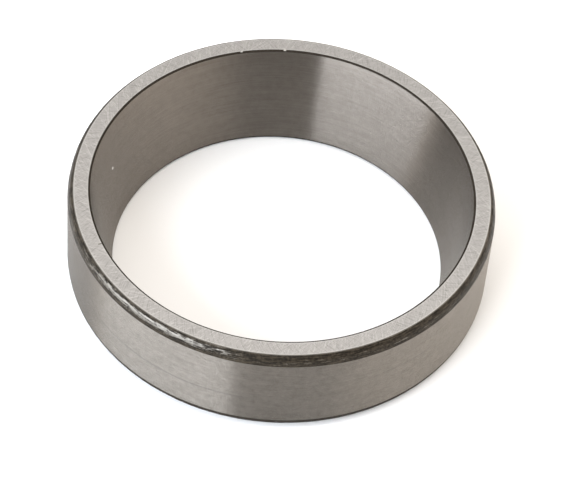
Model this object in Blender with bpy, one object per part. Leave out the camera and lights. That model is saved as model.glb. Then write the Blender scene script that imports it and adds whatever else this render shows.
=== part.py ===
"""The cup of a tapered roller bearing: the outer ring alone, turned, hardened and ground from one piece of steel.

Metres, +Z up. The ring stands on its back face. The origin is the centre of that face, and +Z runs along
the ring's axis towards the front face, where the raceway is widest.

All of the ring's surfaces come from one outline, turned about the axis. It is written as five corners,
each with its rounding, and every corner takes its place from the driving dimensions below.
"""

import math

import bmesh
import bpy
from mathutils import Vector

MM = 0.001

# Driving dimensions.
OUTER_DIAMETER = 93.264 * MM  # ground outside, pressed into the housing
WIDTH = 23.812 * MM  # back face to front face
FRONT_WALL = 4.87 * MM  # wall at the front face, where the ring is thinnest
RACEWAY_HALF_ANGLE = math.radians(12.5)  # between the raceway and the ring's axis

# Corners. They are turned before hardening and are never ground.
BACK_CORNER_RADIUS = 2.8 * MM  # clears the fillet at the housing's shoulder
BACK_BORE_RADIUS = 0.8 * MM  # where the raceway meets the back face
FRONT_CORNER_HEIGHT = 2.6 * MM  # length of the lead-in at the front face, along the axis
FRONT_CORNER_RADIUS = 1.1 * MM  # rounds the lead-in into the front face
LEAD_IN_ANGLE = math.radians(8.0)  # the lead-in's slope, which starts the ring into its housing
FRONT_BORE_RADIUS = 0.5 * MM  # where the raceway meets the front face

# How finely the ring is faceted.
SEGMENTS = 120
ARC_STEP = math.radians(22.5)  # most that one step of a rounding turns

STEEL_COLOUR = (0.42, 0.40, 0.375, 1.0)
STEEL_ROUGHNESS = 0.32


def clear_scene():
    """Removes whatever the file holds, so that the ring is alone in it."""
    for obj in list(bpy.data.objects):
        bpy.data.objects.remove(obj, do_unlink=True)


def raceway_radius(height):
    """The raceway's radius at a height above the back face."""
    front_radius = OUTER_DIAMETER / 2 - FRONT_WALL
    return front_radius - (WIDTH - height) * math.tan(RACEWAY_HALF_ANGLE)


def ring_corners():
    """(corner, rounding) for each corner of the ring's section, as (radius, height), anticlockwise."""
    outer_radius = OUTER_DIAMETER / 2
    lead_in_depth = FRONT_CORNER_HEIGHT * math.tan(LEAD_IN_ANGLE)
    return [
        (Vector((raceway_radius(0), 0)), BACK_BORE_RADIUS),
        (Vector((outer_radius, 0)), BACK_CORNER_RADIUS),
        (Vector((outer_radius, WIDTH - FRONT_CORNER_HEIGHT)), 0),
        (Vector((outer_radius - lead_in_depth, WIDTH)), FRONT_CORNER_RADIUS),
        (Vector((raceway_radius(WIDTH), WIDTH)), FRONT_BORE_RADIUS),
    ]


def rounded(before, corner, after, radius):
    """The corner's points once it is rounded: an arc of that radius, tangent to both of its sides."""
    if not radius:
        return [corner]
    to_before = (before - corner).normalized()
    to_after = (after - corner).normalized()
    inside_angle = to_before.angle(to_after)
    centre = corner + (to_before + to_after).normalized() * radius / math.sin(inside_angle / 2)
    start = corner + to_before * radius / math.tan(inside_angle / 2) - centre
    turn = math.pi - inside_angle
    steps = math.ceil(turn / ARC_STEP)
    angles = [turn * step / steps for step in range(steps + 1)]
    return [centre + Vector((start.x * math.cos(a) - start.y * math.sin(a),
                             start.x * math.sin(a) + start.y * math.cos(a))) for a in angles]


def ring_outline():
    """The closed outline of the ring's section, with its corners rounded."""
    corners = ring_corners()
    outline = []
    for index, (corner, radius) in enumerate(corners):
        before = corners[index - 1][0]
        after = corners[(index + 1) % len(corners)][0]
        outline += rounded(before, corner, after, radius)
    return outline


def turned(name, outline):
    """A mesh made by turning a closed outline of (radius, height) points a full turn about the Z axis."""
    shape = bmesh.new()
    points = [shape.verts.new((radius, 0, height)) for radius, height in outline]
    edges = [shape.edges.new((points[index - 1], point)) for index, point in enumerate(points)]
    bmesh.ops.spin(
        shape,
        geom=points + edges,
        cent=(0, 0, 0),
        axis=(0, 0, 1),
        angle=math.tau,
        steps=SEGMENTS,
        use_merge=True,
    )
    bmesh.ops.recalc_face_normals(shape, faces=shape.faces)
    mesh = bpy.data.meshes.new(name)
    shape.to_mesh(mesh)
    shape.free()
    mesh.shade_smooth()
    mesh.set_sharp_from_angle(angle=math.radians(30))
    return mesh


def bearing_steel():
    """Through-hardened bearing steel with a fine ground surface."""
    material = bpy.data.materials.new("bearing_steel")
    material.use_nodes = True
    shader = material.node_tree.nodes["Principled BSDF"]
    shader.inputs["Base Color"].default_value = STEEL_COLOUR
    shader.inputs["Metallic"].default_value = 1.0
    shader.inputs["Roughness"].default_value = STEEL_ROUGHNESS
    return material


def bearing_cup():
    """The outer ring, which is the whole object."""
    cup = bpy.data.objects.new("bearing_cup", turned("bearing_cup", ring_outline()))
    cup.data.materials.append(bearing_steel())
    bpy.context.scene.collection.objects.link(cup)
    return cup


def main():
    clear_scene()
    bearing_cup()


main()
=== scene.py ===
# %% [markdown]
# # The cup of a tapered roller bearing
#
# A tapered roller bearing comes apart into two halves. This is the outer one, called the cup: a plain
# ring of hardened steel with a tapered track inside for the rollers. It has no moving parts, so all of
# its character is in its finishes. The faces, the outside and the raceway are ground bright, each with
# its own lay of fine scratches, and the corners keep the dark skin that hardening left on them.
#
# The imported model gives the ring's size and place. This script makes the ring again with a finer mesh,
# gives each surface its own steel, and sets it on a pale floor under soft studio lights.

# %% Load the frame
import math

import bmesh
import bpy
from mathutils import Matrix, Vector


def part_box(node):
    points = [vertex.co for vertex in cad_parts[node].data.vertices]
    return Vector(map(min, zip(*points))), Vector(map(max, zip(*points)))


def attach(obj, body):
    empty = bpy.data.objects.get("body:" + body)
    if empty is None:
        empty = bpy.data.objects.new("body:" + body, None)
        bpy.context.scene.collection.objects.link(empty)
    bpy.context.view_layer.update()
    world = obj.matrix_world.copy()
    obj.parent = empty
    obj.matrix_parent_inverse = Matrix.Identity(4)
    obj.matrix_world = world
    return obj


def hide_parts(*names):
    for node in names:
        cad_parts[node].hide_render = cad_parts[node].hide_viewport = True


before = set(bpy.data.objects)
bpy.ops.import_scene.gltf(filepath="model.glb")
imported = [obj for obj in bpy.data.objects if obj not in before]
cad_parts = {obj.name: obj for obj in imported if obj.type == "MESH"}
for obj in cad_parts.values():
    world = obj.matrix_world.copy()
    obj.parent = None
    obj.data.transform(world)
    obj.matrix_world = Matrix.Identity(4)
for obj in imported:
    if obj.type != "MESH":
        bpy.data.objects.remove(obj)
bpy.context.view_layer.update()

NODE = "bearing_cup"
LOW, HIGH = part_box(NODE)
print("nodes:", sorted(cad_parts), "box:", [round(n, 5) for n in (*LOW, *HIGH)])

# %% [markdown]
# ## Sizes
#
# The outer radius and the width are read from the frame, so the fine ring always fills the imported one.
# The others are what a bearing drawing gives: the wall at the front face, the taper of the raceway, and
# the corners. Blender works in metres, so the millimetre gets a name.
#
# The front corner has three parts. A gentle lead-in starts the ring into its housing, a steeper slope
# eases it towards the face, and small roundings join them. One plain arc would be simpler to make, but
# the slope is what holds the long bright streak on this corner.

# %% Sizes
MM = 0.001
TINY = 0.001 * MM  # closer than this counts as the same place
OUTER = HIGH.x  # radius of the outside
WIDTH = HIGH.z - LOW.z
FRONT_WALL = 4.87 * MM
TAPER = math.tan(math.radians(12.5))  # how fast the raceway opens towards the front face
BACK_CORNER = 2.8 * MM
BACK_BORE_CORNER = 0.8 * MM
LEAD_IN_HEIGHT = 2.6 * MM
LEAD_IN_SLOPE = math.tan(math.radians(8.0))
EASE_WIDTH = 1.05 * MM  # from the outside to the slope's upper end, measured on the face
EASE_HEIGHT = 1.15 * MM  # from the face down to the slope's lower end, on the lead-in
EASE_TOP_CORNER = 0.5 * MM  # rounding between the slope and the face
EASE_BOTTOM_CORNER = 2.2 * MM  # rounding between the slope and the lead-in
FRONT_BORE_CORNER = 0.5 * MM


def raceway_radius(height):
    """The raceway's radius at a height above the back face."""
    return OUTER - FRONT_WALL - (WIDTH - height) * TAPER


print("outer radius %.3f mm, width %.3f mm" % (OUTER / MM, WIDTH / MM))
print("raceway radius %.2f to %.2f mm" % (raceway_radius(0) / MM, raceway_radius(WIDTH) / MM))

# %% [markdown]
# ## Camera
#
# A ring on a table is seen best from above and in front, where the top face, the outside and the raceway
# all show. A long lens keeps the circles close to true ellipses, as in a catalogue. The camera is built from
# the point it aims at, its height over the horizon, its distance and a small roll, because each of
# those can be adjusted without the others. It comes first, so that later steps can be judged through it.

# %% Camera
CAMERA_AIM = Vector((2.5 * MM, -6.3 * MM, WIDTH / 2))
CAMERA_ELEVATION = math.radians(49.87)
CAMERA_DISTANCE = 0.618
CAMERA_ROLL = math.radians(5.2)
SENSOR_WIDTH = 36  # millimetres, as Blender gives a camera's sensor and lens
LENS_LENGTH = 175.9

camera_data = bpy.data.cameras.new("camera")
camera_data.sensor_width = SENSOR_WIDTH
camera_data.lens = LENS_LENGTH
camera = bpy.data.objects.new("camera", camera_data)
bpy.context.scene.collection.objects.link(camera)
bpy.context.scene.camera = camera
backwards = Vector((0, -math.cos(CAMERA_ELEVATION), math.sin(CAMERA_ELEVATION)))
camera.matrix_world = (
    Matrix.Translation(CAMERA_AIM + backwards * CAMERA_DISTANCE)
    @ backwards.to_track_quat("Z", "Y").to_matrix().to_4x4()
    @ Matrix.Rotation(CAMERA_ROLL, 4, "Z")
)
print("camera at", [round(n, 4) for n in camera.location], "lens %.1f mm" % camera_data.lens)

# %% [markdown]
# ## The section, drawn once
#
# A turned part is its section swept about an axis. A lathe does that in steel, and one modifier does it
# here. The section starts as a plane stood up across the ring's wall. Its corners are moved to their
# radii, so that the raceway tapers and the front corner leans in, and each corner is rounded with a vertex
# bevel. Sweeping one section keeps every circle true, which scaling the loops of a tube would not.

# %% Helpers for edit mode
def edit(obj):
    """Opens an object in edit mode, alone, and gives its editable mesh."""
    bpy.ops.object.select_all(action="DESELECT")
    bpy.context.view_layer.objects.active = obj
    obj.select_set(True)
    bpy.ops.object.mode_set(mode="EDIT")
    return bmesh.from_edit_mesh(obj.data)


def select_points(shape, test):
    """Selects the points whose place passes a test, and the edges and faces between them."""
    bpy.ops.mesh.select_mode(type="VERT")
    bpy.ops.mesh.select_all(action="DESELECT")
    for point in shape.verts:
        point.select_set(bool(test(point.co)))
    shape.select_flush(True)
    return sum(point.select for point in shape.verts)


def near(place):
    """A test for the points at one place."""
    return lambda point: (point - place).length < TINY


print("edit mode helpers are ready")

# %% Steps of the section
def move_point(shape, start, end):
    """Moves the section's point at start to end."""
    select_points(shape, near(start))
    bpy.ops.transform.translate(value=end - start)


def round_corner(shape, corner, radius, steps):
    """Rounds the section's corner. A bevel's offset is measured along the sides, from the corner."""
    select_points(shape, near(corner))
    point = next(point for point in shape.verts if point.select)
    sides = [edge.other_vert(point).co - corner for edge in point.link_edges]
    offset = radius / math.tan(sides[0].angle(sides[1]) / 2)
    bpy.ops.mesh.bevel(affect="VERTICES", offset=offset, segments=steps, profile=0.5)


def divide_side(shape, start, end, cuts):
    """Cuts the straight stretch of the section between two places into equal parts."""
    side = end - start
    slack = 1e-4  # a share of the side, so that its own ends count as on it

    def on_side(point):
        along = (point - start).dot(side) / side.length_squared
        return -slack < along < 1 + slack and (start + side * along - point).length < TINY

    select_points(shape, on_side)
    bpy.ops.mesh.subdivide(number_cuts=cuts)


print("section helpers are ready")

# %% Draw the section
bpy.ops.object.select_all(action="DESELECT")
bpy.ops.mesh.primitive_plane_add(
    size=1,
    location=(OUTER - FRONT_WALL / 2, 0, WIDTH / 2),
    rotation=(math.radians(90), 0, 0),
)
cup = bpy.context.object
cup.name = cup.data.name = "bearing_cup_ground"
cup.scale = (FRONT_WALL, WIDTH, 1)
bpy.ops.object.transform_apply(location=True, rotation=True, scale=True)

BACK_BORE = Vector((raceway_radius(0), 0, 0))
BACK_OUTSIDE = Vector((OUTER, 0, 0))
SHOULDER = Vector((OUTER, 0, WIDTH - LEAD_IN_HEIGHT))
FRONT_OUTSIDE = Vector((OUTER - EASE_WIDTH, 0, WIDTH))
EASE = Vector((OUTER - (LEAD_IN_HEIGHT - EASE_HEIGHT) * LEAD_IN_SLOPE, 0, WIDTH - EASE_HEIGHT))
FRONT_BORE = Vector((raceway_radius(WIDTH), 0, WIDTH))

section = edit(cup)
bpy.ops.mesh.delete(type="ONLY_FACE")
move_point(section, Vector((OUTER - FRONT_WALL, 0, 0)), BACK_BORE)
divide_side(section, BACK_OUTSIDE, Vector((OUTER, 0, WIDTH)), 1)
move_point(section, Vector((OUTER, 0, WIDTH / 2)), SHOULDER)
divide_side(section, SHOULDER, Vector((OUTER, 0, WIDTH)), 1)
move_point(section, Vector((OUTER, 0, (SHOULDER.z + WIDTH) / 2)), EASE)
move_point(section, Vector((OUTER, 0, WIDTH)), FRONT_OUTSIDE)
print("section:", len(section.verts), "points", len(section.edges), "edges")

# %% Round its corners
for corner, radius, steps in (
    (BACK_OUTSIDE, BACK_CORNER, 24),
    (BACK_BORE, BACK_BORE_CORNER, 8),
    (FRONT_OUTSIDE, EASE_TOP_CORNER, 8),
    (EASE, EASE_BOTTOM_CORNER, 8),
    (FRONT_BORE, FRONT_BORE_CORNER, 6),
):
    round_corner(section, corner, radius, steps)


def side_between(shape, place, other_place):
    """The ends of the straight side whose middle lies nearest to the middle of two places."""
    middle = (place + other_place) / 2
    side = min(shape.edges, key=lambda edge: ((edge.verts[0].co + edge.verts[1].co) / 2 - middle).length)
    return [point.co.copy() for point in side.verts]


FACE_INSIDE, FACE_OUTSIDE = sorted(point.x for point in side_between(section, FRONT_BORE, FRONT_OUTSIDE))
print("front face from %.2f to %.2f mm" % (FACE_INSIDE / MM, FACE_OUTSIDE / MM))

# %% Divide its straight sides
for start, end, cuts in (
    (BACK_BORE, FRONT_BORE, 7),  # raceway
    (BACK_OUTSIDE, SHOULDER, 7),  # outside
    (BACK_BORE, BACK_OUTSIDE, 3),  # back face
    (FRONT_BORE, FRONT_OUTSIDE, 7),  # front face
    (SHOULDER, EASE, 8),  # lead-in
    (EASE, FRONT_OUTSIDE, 5),  # slope above it
):
    divide_side(section, *side_between(section, start, end), cuts)
print("section:", len(section.verts), "points")

# %% [markdown]
# ## Turn it
#
# Sweeping the section through a full turn is a job for either the Spin tool or the Screw modifier. Spin
# slows down as its steps add up, and this ring needs 960 of them, so that one facet of the outside is only
# 0.3 mm long and can carry the dents and nicks that come next. The modifier takes a moment. It closes the
# ring on itself, and the normals are then made to point out of the steel.

# %% Turn the section
STEPS = 960
MERGE_DISTANCE = 0.002 * MM  # joins the last step of the sweep to the first
bpy.ops.object.mode_set(mode="OBJECT")
bpy.ops.object.modifier_add(type="SCREW")
lathe = cup.modifiers[-1]
lathe.axis = "Z"
lathe.angle = math.tau
lathe.steps = lathe.render_steps = STEPS
lathe.use_merge_vertices = True
lathe.merge_threshold = MERGE_DISTANCE
bpy.ops.object.modifier_apply(modifier=lathe.name)
edit(cup)
bpy.ops.mesh.select_all(action="SELECT")
bpy.ops.mesh.remove_doubles(threshold=MERGE_DISTANCE)
bpy.ops.mesh.normals_make_consistent(inside=False)
bpy.ops.object.mode_set(mode="OBJECT")
print("ring:", len(cup.data.vertices), "points", len(cup.data.polygons), "faces")

# %% [markdown]
# ## Corners as they were turned
#
# The corners were cut on a lathe and never ground, so they keep the fine thread that the tool left.
# Every other ring of points there is pushed into the steel by a few microns. Hardening and handling
# then left them slightly uneven, which a Displace modifier with a clouds texture does. A vertex group
# keeps both off the ground surfaces.

# %% Find the corners' rings
FACE_MARGIN = 0.02 * MM  # keeps the face's own edge off the corner


def on_front_corner(place):
    """True on the unground front corner, from the face's edge to the ground outside."""
    return place.z > SHOULDER.z + TINY and place.xy.length > FACE_OUTSIDE + FACE_MARGIN


def on_back_corner(place):
    """True on the unground back corner."""
    return place.z < BACK_CORNER - TINY and place.xy.length > OUTER - BACK_CORNER + TINY


def every_other_height(test):
    """Every other height at which a corner has a ring of points."""
    heights = {round(point.co.z / MM, 3) for point in cup.data.vertices if test(point.co)}
    return set(sorted(heights)[1:-1:2])


groove_heights = every_other_height(on_front_corner) | every_other_height(on_back_corner)
print("tool grooves:", len(groove_heights))

# %% Cut the tool grooves
TOOL_GROOVE = 0.006 * MM
ring = edit(cup)
grooved_points = select_points(
    ring,
    lambda place: (on_front_corner(place) or on_back_corner(place))
    and round(place.z / MM, 3) in groove_heights,
)
bpy.ops.transform.shrink_fatten(value=-TOOL_GROOVE)
bpy.ops.object.mode_set(mode="OBJECT")
print("points pushed in for the grooves:", grooved_points)

# %% Dent them slightly
DENT_DEPTH = 0.05 * MM
DENT_SIZE = 0.9 * MM
corner_points = [
    point.index
    for point in cup.data.vertices
    if on_front_corner(point.co) or on_back_corner(point.co)
]
cup.vertex_groups.new(name="unground").add(corner_points, 1.0, "REPLACE")
dents = bpy.data.textures.new("dents", "CLOUDS")
dents.noise_scale = DENT_SIZE
dents.noise_depth = 2
bpy.ops.object.modifier_add(type="DISPLACE")
displace = cup.modifiers[-1]
displace.texture = dents
displace.texture_coords = "LOCAL"
displace.vertex_group = "unground"
displace.strength = DENT_DEPTH
displace.mid_level = 1.0  # only ever inwards, so the ring stays inside its size
bpy.ops.object.modifier_apply(modifier=displace.name)
print("dented points:", len(corner_points))

# %% [markdown]
# ## Nicks from handling
#
# A hardened edge chips when it meets another ring in the bin. This one has two bright nicks on the inner
# edge of the front face and a dark one on the face itself. Each is a few points pushed into the steel,
# so it has a real slope that catches the light, and its faces get their own finish later on.

# %% Nick the front face
def around(azimuth, radius, height):
    """The place at an azimuth in degrees, a radius and a height."""
    turn = math.radians(azimuth)
    return Vector((radius * math.cos(turn), radius * math.sin(turn), height))


EDGE_RADIUS = raceway_radius(WIDTH) + 0.38 * MM  # just short of the face's inner edge
NICK_DEPTH = 0.025 * MM
BRIGHT_NICKS = [  # the middle and the size of each
    (around(93.4, EDGE_RADIUS, WIDTH), 0.34 * MM),
    (around(106.9, EDGE_RADIUS, WIDTH), 0.22 * MM),
]
DARK_NICKS = [(around(-152, EDGE_RADIUS + 0.4 * MM, WIDTH), 0.24 * MM)]


def in_nick(place, nicks):
    """True for a place inside one of the nicks."""
    return any((place - middle).length < size for middle, size in nicks)


ring = edit(cup)
nicked = select_points(ring, lambda place: in_nick(place, BRIGHT_NICKS + DARK_NICKS))
bpy.ops.transform.translate(value=(0, 0, -NICK_DEPTH))
bpy.ops.object.mode_set(mode="OBJECT")
print("nicked points:", nicked)

# %% [markdown]
# ## Finishes
#
# The ring is one piece of steel with six finishes. Each is a material of its own, given to the faces by
# their place. One material with masks wouldn't do, because anisotropy has to be one number for a whole
# material, and the outside needs a lot of it while the faces need none.
#
# The maths of a shader reads best as maths. The class below wraps a node's output, and an expression on
# wrapped outputs adds the Math nodes for it. Any other node comes from `make`.

# %% Shader maths
class Wire:
    """One output in a node tree. Arithmetic on it adds Math nodes."""

    def __init__(self, tree, socket=None):
        self.tree = tree
        self.socket = socket

    def make(self, kind, settings=None, inputs=None, output=0):
        """Adds any node. Its settings are set first, and then its inputs get their values or links."""
        node = self.tree.nodes.new("ShaderNode" + kind)
        for name, value in (settings or {}).items():
            if name == "stops":
                self.set_stops(node.color_ramp, value)
            else:
                setattr(node, name, value)
        for name, value in (inputs or {}).items():
            if isinstance(value, Wire):
                self.tree.links.new(value.socket, node.inputs[name])
            else:
                node.inputs[name].default_value = value
        return Wire(self.tree, node.outputs[output])

    @staticmethod
    def set_stops(ramp, stops):
        """Gives a colour ramp its (position, colour) stops."""
        while len(ramp.elements) < len(stops):
            ramp.elements.new(1.0)
        for element, (position, colour) in zip(ramp.elements, stops):
            element.position = position
            element.color = colour

    def maths(self, operation, *values):
        """A Math node on wires and numbers."""
        return self.make("Math", {"operation": operation}, dict(enumerate(values)))

    def __add__(self, other):
        return self.maths("ADD", self, other)

    def __sub__(self, other):
        return self.maths("SUBTRACT", self, other)

    def __rsub__(self, other):
        return self.maths("SUBTRACT", other, self)

    def __mul__(self, other):
        return self.maths("MULTIPLY", self, other)

    __radd__ = __add__
    __rmul__ = __mul__


print("shader maths is ready")

# %% [markdown]
# ### Blends and noise
#
# Every finish below is a blend between two states, steered by noise. The noise is read in Object
# coordinates, so it has a real size in millimetres. Squeezing it in height and drawing it out sideways
# turns blobs into the lines that a grinding wheel leaves around the ring.

# %% Blends
def ramp_between(value, low, high, start=0.0, end=1.0):
    """Goes smoothly from start to end as a value goes from low to high, and stays level outside them."""
    inputs = {"Value": value, "From Min": low, "From Max": high, "To Min": start, "To Max": end}
    return value.make("MapRange", {"interpolation_type": "SMOOTHSTEP"}, inputs)


def mix_colours(factor, colour, other):
    """One colour where the factor is 0, the other where it is 1. Either may be a wire or three numbers."""
    inputs = {0: factor}
    for socket, value in ((6, colour), (7, other)):
        inputs[socket] = value if isinstance(value, Wire) else (*value, 1.0)
    return factor.make("Mix", {"data_type": "RGBA"}, inputs, output=2)


print("blends are ready")

# %% Noise
def scaled(place, across, along):
    """A place with X and Y scaled by one number and Z by another, for noise that runs around the ring."""
    return place.make("VectorMath", {"operation": "MULTIPLY"}, {0: place, 1: (across, across, along)})


def speckle(place, scale, detail=2.0, roughness=0.5):
    """Noise from 0 to 1. Its scale is the number of blobs in a metre."""
    inputs = {"Vector": place, "Scale": scale, "Detail": detail, "Roughness": roughness}
    return place.make("TexNoise", {}, inputs)


def grind_lines(place, pitch, length):
    """Fine lines around the ring: noise that changes over a pitch in height and a length in the round."""
    return speckle(scaled(place, 1 / length, 1 / pitch), 1.0, detail=3.0)


print("noise is ready")

# %% [markdown]
# ### Steel to start from
#
# All the finishes are steel, so they share one start: a metal whose steady numbers sit on the shader's own
# sockets, where an exporter can read them. Only what varies over the surface comes through a link.

# %% Steel to start from
def steel(name, **constants):
    """A metal with its steady numbers on its own sockets. Gives the material, its shader and its place."""
    material = bpy.data.materials.new(name)
    material.use_nodes = True
    tree = material.node_tree
    shader = tree.nodes["Principled BSDF"]
    for socket, value in {"Metallic": 1.0, **constants}.items():
        shader.inputs[socket.replace("_", " ")].default_value = value
    start = Wire(tree)
    place = start.make("TexCoord", output="Object")
    return material, shader, place


def connect(shader, **wires):
    """Links wires to a shader's sockets. An underscore in a name stands for a space."""
    for name, wire in wires.items():
        wire.tree.links.new(wire.socket, shader.inputs[name.replace("_", " ")])


print("steel is ready")

# %% [markdown]
# ### Relief too fine to model
#
# The grooves of a ground surface are a few hundredths of a millimetre apart, far below a facet, so they
# go into the normal. Tipping the normal up and down directly keeps its spread the same in every render
# size, which a Bump node doesn't.

# %% Relief
def bumped(height, depth):
    """A normal from a height between 0 and 1 that stands for a depth in metres."""
    return height.make("Bump", {}, {"Height": height, "Distance": depth, "Strength": 1.0})


GROOVE_LENGTH = 0.15 * MM
GROOVE_PITCH = 0.02 * MM
GROOVE_STEEPNESS = 4.0


def grooved(place):
    """A normal tipped up and down by grooves that run around the ring, too fine to be seen one by one."""
    grooves = speckle(scaled(place, 1 / GROOVE_LENGTH, 1 / GROOVE_PITCH), 1.0, detail=1.0)
    flank = (grooves - 0.5) * GROOVE_STEEPNESS
    upright = place.make("CombineXYZ", {}, {"Z": flank})
    normal = place.make("NewGeometry", output="Normal")
    tipped = place.make("VectorMath", {"operation": "ADD"}, {0: normal, 1: upright})
    return place.make("VectorMath", {"operation": "NORMALIZE"}, {0: tipped})


print("relief is ready")

# %% [markdown]
# ### Where on the ring
#
# A turned part is simplest to describe by radius and height. These masks are made from the two, and mark
# a ring around the part, scattered specks, or one single spot.

# %% Where on the ring
def height_of(place):
    """Height above the back face."""
    return place.make("SeparateXYZ", {}, {"Vector": place}, output="Z")


def radius_of(place):
    """Distance from the axis."""
    flat = scaled(place, 1.0, 0.0)
    return place.make("VectorMath", {"operation": "LENGTH"}, {0: flat}, output="Value")


def band(value, middle, half_width):
    """1 where a value is at the middle, falling to 0 at half a width on either side."""
    away = value.maths("ABSOLUTE", value - middle)
    return ramp_between(away, half_width * 0.3, half_width, 1.0, 0.0)


def specks(place, spacing, size):
    """Sparse small spots, 1 inside and 0 outside."""
    inputs = {"Vector": place, "Scale": 1 / spacing}
    distance = place.make("TexVoronoi", {"feature": "F1"}, inputs, output="Distance")
    return ramp_between(distance, 0.3 * size / spacing, size / spacing, 1.0, 0.0)


def spot(place, middle, size):
    """One spot: 1 at its middle, and 0 from its size outwards."""
    inputs = {0: place, 1: tuple(middle)}
    distance = place.make("VectorMath", {"operation": "DISTANCE"}, inputs, output="Value")
    return ramp_between(distance, 0.4 * size, size, 1.0, 0.0)


print("masks are ready")

# %% [markdown]
# ### The outside
#
# A centreless grinder leaves grooves around the ring, far finer than the eye can part. Their flanks tip up
# and down, so a lamp's reflection is drawn out up and down the ring but stays narrow in the round. That is
# what gives ground steel its upright bands of light and dark. Two things make it here: anisotropy turned
# by a quarter, and a normal that the grooves tip.

# %% Outside
ACROSS_THE_LINES = 0.25  # a quarter turn
LONG_MARK = around(-120, OUTER, 9.7 * MM)
SHORT_MARK = around(-51, OUTER, 13.5 * MM)
MARK_HALF_WIDTH = 0.24 * MM


def make_outside():
    """Centreless ground, lightly mottled, with two faint marks where it has slid on something."""
    material, shader, place = steel(
        "ground_outside", Anisotropic=1.0, Anisotropic_Rotation=ACROSS_THE_LINES, Roughness=0.32
    )
    lines = grind_lines(place, 0.25 * MM, 5 * MM)
    mottle = speckle(place, 1 / (1.4 * MM), detail=5.0, roughness=0.65)
    shade = ramp_between(lines * 0.45 + mottle * 0.55, 0.35, 0.65)
    colour = mix_colours(shade, (0.138, 0.124, 0.107), (0.190, 0.172, 0.151))
    height = height_of(place)
    long_mark = band(height, LONG_MARK.z, MARK_HALF_WIDTH) * spot(place, LONG_MARK, 30 * MM)
    short_mark = band(height, SHORT_MARK.z, MARK_HALF_WIDTH) * spot(place, SHORT_MARK, 10 * MM)
    line = long_mark * 0.6 + short_mark * 0.35
    marks = line.maths("MAXIMUM", line, specks(place, 7 * MM, 0.28 * MM) * 0.5)
    colour = mix_colours(marks, colour, (0.08, 0.074, 0.066))
    connect(shader, Base_Color=colour, Normal=grooved(place))
    return material


OUTSIDE = make_outside()
print(OUTSIDE.name, "nodes:", len(OUTSIDE.node_tree.nodes))

# %% [markdown]
# ### The raceway
#
# The rollers run on this track, so it is honed after grinding and is the smoothest surface of all. It is
# made in the same way as the outside, a little darker and closer to a mirror, with faint lines around it.

# %% Raceway
SPECK_HEIGHT = 13.8 * MM
SPECK = around(164.5, raceway_radius(SPECK_HEIGHT), SPECK_HEIGHT)


def make_raceway():
    """Honed for the rollers, with one bright speck."""
    material, shader, place = steel(
        "honed_raceway", Anisotropic=1.0, Anisotropic_Rotation=ACROSS_THE_LINES, Roughness=0.28
    )
    lines = grind_lines(place, 0.3 * MM, 10 * MM)
    mottle = speckle(place, 1 / (1.5 * MM), detail=4.0)
    shade = ramp_between(lines * 0.6 + mottle * 0.4, 0.25, 0.75)
    colour = mix_colours(shade, (0.152, 0.135, 0.117), (0.194, 0.174, 0.153))
    colour = mix_colours(spot(place, SPECK, 0.45 * MM), colour, (0.75, 0.74, 0.72))
    connect(shader, Base_Color=colour, Normal=grooved(place))
    return material


RACEWAY = make_raceway()
print(RACEWAY.name, "nodes:", len(RACEWAY.node_tree.nodes))

# %% [markdown]
# ### The faces
#
# A disc grinder sweeps across the face in arcs, first one way and then the other. The strokes below are
# noise drawn out along two families of spirals. Turning each place about the axis, by an angle that grows
# with its radius, bends spokes into spirals, and it leaves no seam because it never needs an azimuth.

# %% Faces
def strokes(place, slant, width, length):
    """Noise drawn out into strokes. The slant is the angle in degrees between a stroke and a radius."""
    radius = radius_of(place)
    twist = math.tan(math.radians(slant)) / OUTER
    inputs = {"Vector": scaled(place, 1.0, 0.0), "Angle": radius * twist}
    turned = place.make("VectorRotate", {"rotation_type": "Z_AXIS"}, inputs)
    spoke = place.make("VectorMath", {"operation": "NORMALIZE"}, {0: turned})
    spoke = scaled(spoke, OUTER / width, 0.0)
    step = place.make("CombineXYZ", {}, {"Z": radius * (math.cos(math.radians(slant)) / length)})
    drawn = place.make("VectorMath", {"operation": "ADD"}, {0: spoke, 1: step})
    return speckle(drawn, 1.0, detail=2.0)


def make_face():
    """Disc ground: fine strokes that cross each other, and a painted highlight along both edges."""
    material, shader, place = steel("ground_face", Roughness=0.42)
    one_way = strokes(place, 24, 0.22 * MM, 2.2 * MM)
    other_way = strokes(place, -33, 0.20 * MM, 1.8 * MM)
    sweep = strokes(place, 58, 0.24 * MM, 2.6 * MM)
    bright = ramp_between(one_way, 0.52, 0.76) + ramp_between(sweep, 0.55, 0.80)
    dark = ramp_between(other_way, 0.50, 0.28) + ramp_between(sweep, 0.45, 0.22)
    mottle = speckle(place, 1 / (0.7 * MM), detail=5.0, roughness=0.65)
    shade = mottle * 0.6 + bright * 0.6 - dark * 0.48 + 0.2
    colour = mix_colours(shade, (0.22, 0.213, 0.205), (0.415, 0.404, 0.392))
    radius = radius_of(place)
    # Painted highlight: thin bright bands along both edges of the face stand for light catching the edges.
    edge_highlight = band(radius, FACE_INSIDE, 0.35 * MM) * 0.2
    edge_highlight = edge_highlight.maths("MAXIMUM", edge_highlight, band(radius, FACE_OUTSIDE, 0.3 * MM) * 0.3)
    colour = mix_colours(edge_highlight, colour, (0.56, 0.55, 0.53))
    colour = mix_colours(specks(place, 6 * MM, 0.25 * MM) * 0.6, colour, (0.10, 0.09, 0.08))
    connect(shader, Base_Color=colour)
    return material


FACE = make_face()
print(FACE.name, "nodes:", len(FACE.node_tree.nodes))

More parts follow.
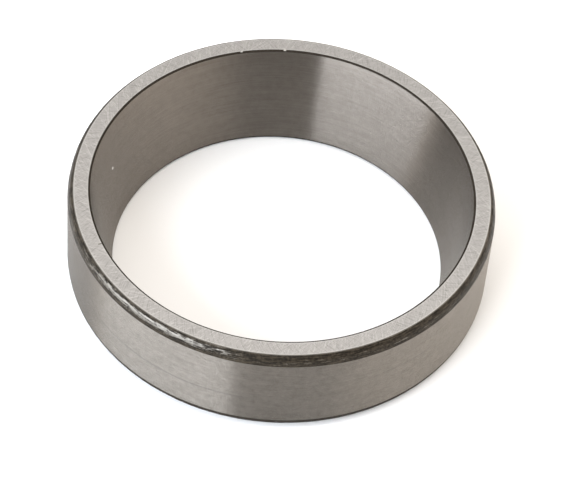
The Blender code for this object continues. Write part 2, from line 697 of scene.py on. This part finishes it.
# %% [markdown]
# ### The unground front corner
#
# Hardening leaves a skin of black oxide. Grinding removed it everywhere but at the corners, where it is
# still dark, and on this one slightly glossy. Oxide reflects like a dark glaze rather than like a metal,
# so most of it isn't metallic. Where handling has rubbed it through, small streaks of bare steel show.
# On the side that faces the left softbox, more streaks of bare steel are painted over the slope almost all
# the way round to the front, as a painted highlight where that lamp's reflection falls.

# %% Unground front corner
# Middle of the side facing the left softbox, where bare streaks are painted in as its highlight.
HIGHLIGHT_SIDE = around(-125, OUTER, WIDTH)


def make_scale():
    """Black oxide, rubbed through to the steel in streaks, with more painted on the softbox side as a
    highlight.
    """
    material, shader, place = steel(
        "hardening_scale", Specular_IOR_Level=0.14, Specular_Tint=(1.0, 0.92, 0.84, 1.0)
    )
    streaks = speckle(scaled(place, 1 / (2.4 * MM), 1 / (0.22 * MM)), 1.0, detail=3.0)
    grain = speckle(place, 1 / (0.5 * MM), detail=3.0)
    height = height_of(place)
    stripe = band(height, WIDTH - 1.65 * MM, 0.28 * MM) * 0.06
    # Painted highlight: more bare steel on the slope where the left softbox's reflection falls.
    highlight_side = spot(place, HIGHLIGHT_SIDE, 27 * MM)
    highlight_streaks = band(height, WIDTH - 0.95 * MM, 0.75 * MM) * highlight_side * 0.25
    bare_and_highlight = ramp_between(streaks * 0.7 + grain * 0.3 + stripe + highlight_streaks, 0.60, 0.75)
    rubbed = ramp_between(height, WIDTH - 0.11 * MM, WIDTH - 0.03 * MM)
    bare_and_highlight = bare_and_highlight.maths("MAXIMUM", bare_and_highlight, rubbed)
    patches = ramp_between(streaks * 0.6 + grain * 0.4, 0.40, 0.60)
    skin = mix_colours(patches, (0.005, 0.0038, 0.0023), (0.034, 0.0268, 0.0185))
    shadowed = band(height, WIDTH - 0.3 * MM, 0.32 * MM) * 0.25
    connect(
        shader,
        Base_Color=mix_colours(bare_and_highlight, skin, (0.13, 0.12, 0.106)),
        Metallic=bare_and_highlight * 0.8,
        Roughness=ramp_between(streaks, 0.40, 0.62, 0.48, 0.28) + shadowed,
        Normal=bumped(streaks, 0.012 * MM),
    )
    return material


SCALE = make_scale()
print(SCALE.name, "nodes:", len(SCALE.node_tree.nodes))

# %% [markdown]
# ### The back corner and the bore corners
#
# Nothing rubs these, so their oxide is thick and dull. They show as thin dark lines around the bore and
# under the ring. A rough finish with almost no gloss keeps them dark even beside a bright floor.

# %% Back corner and bore corners
def make_dull_scale():
    """Thick oxide, dull and brown-black."""
    material, shader, place = steel("dull_scale", Metallic=0.0, Specular_IOR_Level=0.1, Roughness=0.7)
    grain = speckle(place, 1 / (0.4 * MM), detail=3.0)
    connect(shader, Base_Color=mix_colours(grain, (0.010, 0.0075, 0.005), (0.03, 0.024, 0.018)))
    return material


DULL_SCALE = make_dull_scale()
print(DULL_SCALE.name, "nodes:", len(DULL_SCALE.node_tree.nodes))

# %% [markdown]
# ### Bare steel in the nicks
#
# A nick breaks through the oxide of the bore corner, and what struck it leaves the steel rubbed smooth.
# It needs its own finish, because it is bright where everything around it is dark.

# %% Bare steel
def make_edge():
    """Bare steel, rubbed smooth."""
    material, shader, place = steel("rubbed_edge", Roughness=0.35)
    mottle = speckle(place, 1 / (0.6 * MM), detail=2.0)
    connect(shader, Base_Color=mix_colours(mottle, (0.28, 0.27, 0.255), (0.38, 0.37, 0.355)))
    return material


EDGE = make_edge()
print(EDGE.name, "nodes:", len(EDGE.node_tree.nodes))

# %% [markdown]
# ### Which surface has which finish
#
# The radius and the height of a face's middle tell its surface, because every surface is a full ring.

# %% Give each face its finish
FINISHES = [SCALE, DULL_SCALE, FACE, OUTSIDE, RACEWAY, EDGE]
UPRIGHT = 0.9999  # a normal this close to the axis is a flat face's
FACE_SLACK = 0.03 * MM  # how far a nick may lower the front face
OUTSIDE_SLACK = 0.01 * MM
RACEWAY_SLACK = 0.012 * MM


def finish_at(face):
    """The finish for one face of the ring."""
    radius = face.center.xy.length
    height = face.center.z
    if in_nick(face.center, BRIGHT_NICKS):
        return EDGE
    if in_nick(face.center, DARK_NICKS):
        return SCALE
    if abs(face.normal.z) > UPRIGHT or height > WIDTH - FACE_SLACK and FACE_INSIDE < radius < FACE_OUTSIDE:
        return FACE
    if radius > OUTER - OUTSIDE_SLACK and BACK_CORNER < height < SHOULDER.z:
        return OUTSIDE
    if abs(radius - raceway_radius(height)) < RACEWAY_SLACK:
        return RACEWAY
    return SCALE if on_front_corner(face.center) else DULL_SCALE


for material in FINISHES:
    cup.data.materials.append(material)
for face in cup.data.polygons:
    face.material_index = FINISHES.index(finish_at(face))
for number, material in enumerate(FINISHES):
    print(material.name, "faces:", sum(face.material_index == number for face in cup.data.polygons))

# %% [markdown]
# ## Smooth it
#
# Smooth shading hides the facets. The edges between finishes are marked sharp, because a ground surface
# ends at a crisp line, and shading that ran over the line would bend the flat face's reflections.

# %% Smooth it
SMOOTH_BELOW = math.radians(30)  # two faces that meet at less than this are shaded as one
bpy.ops.object.select_all(action="DESELECT")
bpy.context.view_layer.objects.active = cup
cup.select_set(True)
bpy.ops.object.shade_smooth_by_angle(angle=SMOOTH_BELOW)
ring = edit(cup)
bpy.ops.mesh.select_mode(type="EDGE")
bpy.ops.mesh.select_all(action="DESELECT")
for edge in ring.edges:
    faces = edge.link_faces
    edge.select_set(len(faces) == 2 and faces[0].material_index != faces[1].material_index)
bpy.ops.mesh.mark_sharp()
print("sharp edges:", sum(edge.select for edge in ring.edges))
bpy.ops.object.mode_set(mode="OBJECT")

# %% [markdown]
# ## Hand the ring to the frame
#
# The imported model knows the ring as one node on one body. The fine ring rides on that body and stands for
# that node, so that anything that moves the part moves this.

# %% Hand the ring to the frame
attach(cup, "root")
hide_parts(NODE)
print(cup.name, "replaces", NODE)

# %% [markdown]
# ## Floor
#
# A pale, matt floor without a horizon in view keeps the attention on the steel. It is lit until it is
# almost pure white, and it also fills the shadows on the ring from below.

# %% Floor
FLOOR_SIZE = 6.0  # metres, so that its edges are out of view
FLOOR_COLOUR = (0.90, 0.895, 0.885, 1)
bpy.ops.object.select_all(action="DESELECT")
bpy.ops.mesh.primitive_plane_add(size=FLOOR_SIZE, location=(0, 0, 0))
floor = bpy.context.object
floor.name = "floor"
material = bpy.data.materials.new("floor")
material.use_nodes = True
shader = material.node_tree.nodes["Principled BSDF"]
shader.inputs["Base Color"].default_value = FLOOR_COLOUR
shader.inputs["Roughness"].default_value = 0.9
shader.inputs["Specular IOR Level"].default_value = 0.2
floor.data.materials.append(material)
print("floor:", [round(n, 2) for n in floor.dimensions])

# %% [markdown]
# ## Lights
#
# A round of polished metal shows its lights as upright bands, and the azimuth of a light decides where
# its band falls. So the studio is a set of upright soft panels around the ring, and the gaps between them
# are the dark bands. A large cool softbox on the left makes the broad bright band on the outside, and two
# dimmer strips soften its far edge. On the right, eight narrow panels in steps of brightness stand for one
# light that fades towards the front, and a wide panel beyond them carries it on to the back. A ceiling
# panel lights the flat face and the floor, and a faint warm world fills what is left.

# %% Light stands
def soft_panel(name, place, aim, width, height, glow, colour=(1, 1, 1)):
    """A rectangular soft light that shines from a place towards an aim. Its glow is its brightness."""
    data = bpy.data.lights.new(name, "AREA")
    data.shape = "RECTANGLE"
    data.size = width
    data.size_y = height
    data.energy = glow * math.pi * width * height
    data.color = colour
    light = bpy.data.objects.new(name, data)
    light.matrix_world = (
        Matrix.Translation(place)
        @ (place - aim).to_track_quat("Z", "Y").to_matrix().to_4x4()
    )
    bpy.context.scene.collection.objects.link(light)
    return light


def wall_panel(name, azimuth, distance, half_angle, bottom, top, glow, colour=(1, 1, 1)):
    """An upright panel beside the ring, as wide as half an angle each way from its azimuth."""
    turn = math.radians(azimuth)
    middle = Vector((0, 0, (bottom + top) / 2))
    place = Vector((math.cos(turn), math.sin(turn), 0)) * distance + middle
    width = 2 * distance * math.tan(math.radians(half_angle))
    return soft_panel(name, place, middle, width, top - bottom, glow, colour)


print("light stands are ready")

# %% Set the lights
COOL = (0.95, 1.015, 1.105)
PLAIN = (1.0, 0.985, 0.97)
WARM = (1.0, 0.968, 0.935)
WARMER = (1.0, 0.92, 0.825)
FLOOR_LEVEL = 0.0
PANEL_TOP = 0.60
SOFTBOX_TOP = 0.70
RIGHT_DISTANCE = 0.80
RIGHT_START = 298  # azimuth of the first narrow panel, in degrees
RIGHT_STEP = 7  # from one narrow panel to the next, which is also how wide each is
RIGHT_GLOWS = (0.4, 1.0, 1.7, 2.2, 2.4, 2.5, 2.6, 2.8)

wall_panel("left_softbox", 222.5, 0.60, 32.5, FLOOR_LEVEL, SOFTBOX_TOP, 7.9, COOL)
wall_panel("left_edge_near", 188, 0.70, 2.2, FLOOR_LEVEL, PANEL_TOP, 4.2, PLAIN)
wall_panel("left_edge_far", 183.5, 0.70, 2.2, FLOOR_LEVEL, PANEL_TOP, 2.0, PLAIN)
for number, glow in enumerate(RIGHT_GLOWS):
    azimuth = RIGHT_START + RIGHT_STEP * number
    name = "right_panel_%d" % number
    wall_panel(name, azimuth, RIGHT_DISTANCE, RIGHT_STEP / 2, FLOOR_LEVEL, PANEL_TOP, glow, WARMER)
wall_panel("right_back", 20, RIGHT_DISTANCE, 29.5, FLOOR_LEVEL, PANEL_TOP, 2.9, WARMER)
soft_panel("ceiling", Vector((0, 0.45, 0.95)), Vector((0, 0.45, 0)), 2.4, 1.4, 2.15, WARM)

WORLD_COLOUR = (1, 0.93, 0.86, 1)
WORLD_STRENGTH = 0.065
world = bpy.data.worlds.new("studio")
world.use_nodes = True
background = world.node_tree.nodes["Background"]
background.inputs["Color"].default_value = WORLD_COLOUR
background.inputs["Strength"].default_value = WORLD_STRENGTH
bpy.context.scene.world = world
bpy.context.scene.view_settings.view_transform = "Standard"
